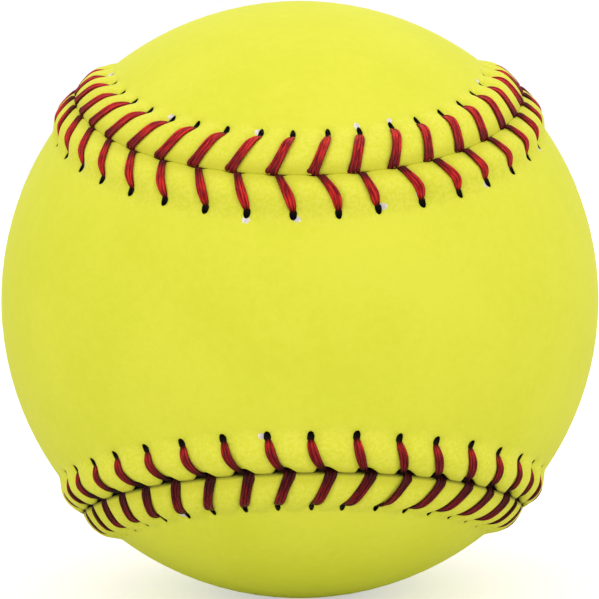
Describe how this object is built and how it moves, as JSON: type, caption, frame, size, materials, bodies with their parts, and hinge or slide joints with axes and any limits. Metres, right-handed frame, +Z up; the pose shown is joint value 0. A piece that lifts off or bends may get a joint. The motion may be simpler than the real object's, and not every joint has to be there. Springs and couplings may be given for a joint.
{
  "type": "softball",
  "caption": "Cork-cored ball with a two-piece yellow leather cover and a raised seam of red, two-needle chevron stitches.",
  "frame": {"origin": "centre of the ball", "axes": "+Z up, -Y towards the viewer: the front panel's waist faces -Y and its lobes reach round both sides at +X and -X; the back panel's lobes close the top and the bottom"},
  "size_m": [0.0966, 0.0968, 0.0966],
  "materials": {
    "cork": "pressed cork granules, matte",
    "yarn": "tightly wound grey-white yarn",
    "latex": "thin dipped latex, satin",
    "yellow_leather": "dyed optic-yellow leather, fine grain, low sheen",
    "red_thread": "waxed red thread in parallel plies"
  },
  "bodies": {
    "root": {"cork_core": "cork", "yarn_winding": "yarn", "latex_coat": "latex", "front_cover_panel": "yellow_leather", "back_cover_panel": "yellow_leather", "leading_seam_thread": "red_thread", "trailing_seam_thread": "red_thread"}
  },
  "joints": []
}
